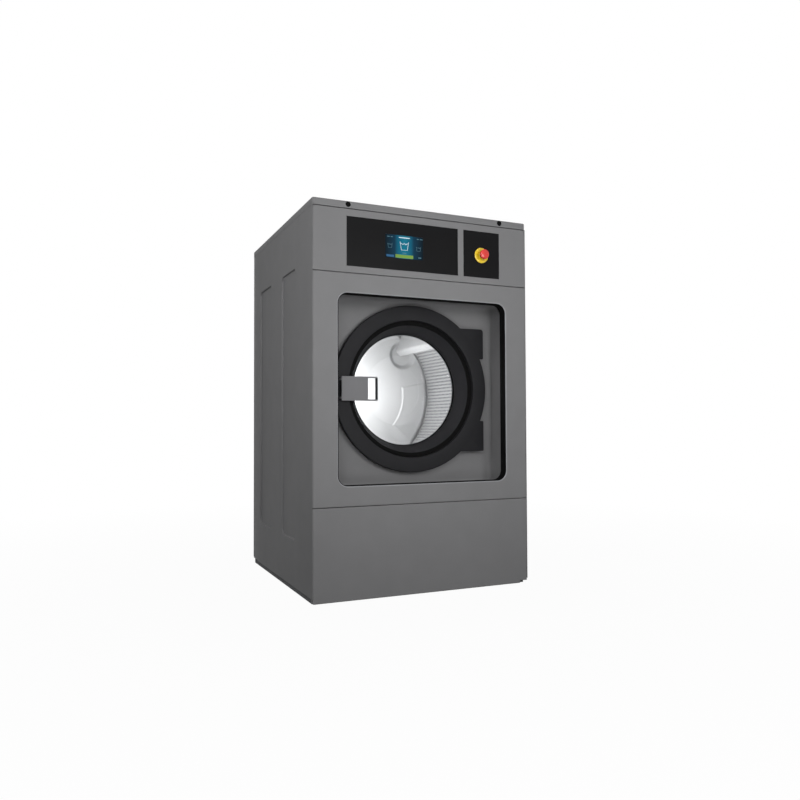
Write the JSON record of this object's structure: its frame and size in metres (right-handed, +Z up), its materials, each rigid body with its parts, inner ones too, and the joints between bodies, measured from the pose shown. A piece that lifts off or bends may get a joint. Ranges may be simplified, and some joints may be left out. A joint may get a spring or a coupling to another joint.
{
  "type": "industrial washing machine",
  "caption": "Front-loading industrial washing machine: grey cabinet with a round glass door in a deep square recess, belt-driven drum, touch display and emergency stop.",
  "frame": {"origin": "centre of the whole machine's footprint, on the floor", "axes": "+Z up; the door faces -Y; +X is to the right of someone who faces the door"},
  "size_m": [0.884, 0.99, 1.431],
  "materials": {
    "grey_enamel": "satin powder coat, mid grey",
    "dark_enamel": "satin powder coat, dark grey",
    "recess_enamel": "satin powder coat",
    "black_rubber": "matt",
    "black_moulding": "satin moulded",
    "black_panel": "satin",
    "screen": "gloss, lit",
    "stop_yellow": "gloss",
    "stop_red": "gloss",
    "grey_plastic": "matt moulded",
    "white_plastic": "matt moulded",
    "door_glass": "clear toughened",
    "stainless": "brushed",
    "drum_steel": "polished",
    "bright_steel": "plated",
    "cast_alloy": "die cast",
    "cast_iron": "cast",
    "handle_metal": "satin",
    "motor_paint": "satin"
  },
  "bodies": {
    "cabinet": {"base_frame": "dark_enamel", "cabinet_frame": "dark_enamel", "side_panel_left": "grey_enamel", "side_panel_right": "grey_enamel", "top_lid": "grey_enamel", "lid_plugs": "black_rubber", "front_panel": "grey_enamel", "opening_trim": "black_rubber", "door_recess_pan": "recess_enamel", "control_fascia": "grey_enamel", "kick_panel": "grey_enamel", "control_panel": "black_panel", "display": "screen", "controller_box": "grey_plastic", "stop_panel": "black_panel", "stop_disc": "stop_yellow", "stop_contact_block": "black_moulding", "rear_panel": "grey_enamel", "rear_access_cover": "grey_enamel", "case_screws": "bright_steel", "hinge_brackets": "dark_enamel", "hinge_pins": "bright_steel", "lock_housing": "black_moulding", "door_seal": "black_rubber", "tub": "stainless", "tub_front": "stainless", "tub_clamp_band": "stainless", "tub_saddles": "dark_enamel", "heating_elements": "bright_steel", "bearing_housing": "cast_iron", "bearing_outer_rings": "bright_steel", "drive_belt": "black_rubber", "motor_body": "motor_paint", "motor_inverter": "grey_plastic", "soap_box": "white_plastic", "inlet_valves": "white_plastic", "drain_valve": "black_moulding", "terminal_box": "grey_plastic"},
    "door": {"door_cover": "black_moulding", "door_frame": "cast_alloy", "door_glass": "door_glass", "glass_gasket": "black_rubber", "glass_clamp": "stainless", "handle_pin": "bright_steel"},
    "handle": {"handle_plate": "handle_metal", "handle_lever": "black_moulding"},
    "lock_bolt": {"lock_bolt": "bright_steel"},
    "stop_plunger": {"stop_plunger": "bright_steel"},
    "stop_cap": {"stop_cap": "stop_red"},
    "drum": {"drum_shell": "drum_steel", "drum_front": "drum_steel", "drum_back": "drum_steel", "drum_lifters": "drum_steel", "drum_shaft": "bright_steel", "bearing_inner_rings": "bright_steel", "drum_pulley": "cast_iron"},
    "motor_rotor": {"motor_rotor": "bright_steel", "motor_pulley": "cast_iron"},
    "soap_lid": {"soap_lid": "grey_enamel"},
    "drain_flap": {"drain_flap": "stainless"}
  },
  "joints": [
    {"name": "door_hinge", "type": "hinge", "parent": "cabinet", "child": "door", "pos_m": [0.306, -0.337, 0.766], "axis": [0, 0, 1], "range_deg": [0, 98]},
    {"name": "handle_turn", "type": "hinge", "parent": "door", "child": "handle", "pos_m": [-0.296, -0.359, 0.762], "axis": [0, 0, -1], "range_deg": [0, 12], "stiffness_Nm_per_rad": 4},
    {"name": "lock_slide", "type": "slide", "parent": "cabinet", "child": "lock_bolt", "axis": [1, 0, 0], "range_m": [0, 0.006], "stiffness_N_per_m": 150},
    {"name": "stop_push", "type": "slide", "parent": "cabinet", "child": "stop_plunger", "axis": [0, 1, 0], "range_m": [0, 0.005]},
    {"name": "stop_twist", "type": "hinge", "parent": "stop_plunger", "child": "stop_cap", "pos_m": [0.241, -0.483, 1.284], "axis": [0, 1, 0], "range_deg": [0, 40]},
    {"name": "drum_spin", "type": "hinge", "parent": "cabinet", "child": "drum", "pos_m": [0, 0.337, 0.766], "axis": [0, 1, 0], "continuous": true},
    {"name": "motor_spin", "type": "hinge", "parent": "cabinet", "child": "motor_rotor", "pos_m": [0.17, 0.337, 0.23], "axis": [0, 1, 0], "continuous": true},
    {"name": "soap_lid_hinge", "type": "hinge", "parent": "cabinet", "child": "soap_lid", "pos_m": [0, -0.141, 1.4255], "axis": [-1, 0, 0], "range_deg": [0, 100]},
    {"name": "drain_flap_turn", "type": "hinge", "parent": "cabinet", "child": "drain_flap", "pos_m": [-0.06, 0.332, 0.11], "axis": [0, 0, 1], "range_deg": [0, 90]}
  ],
  "couplings": [
    {"joint": "motor_spin", "follows": "drum_spin", "ratio": 5.2941}
  ]
}
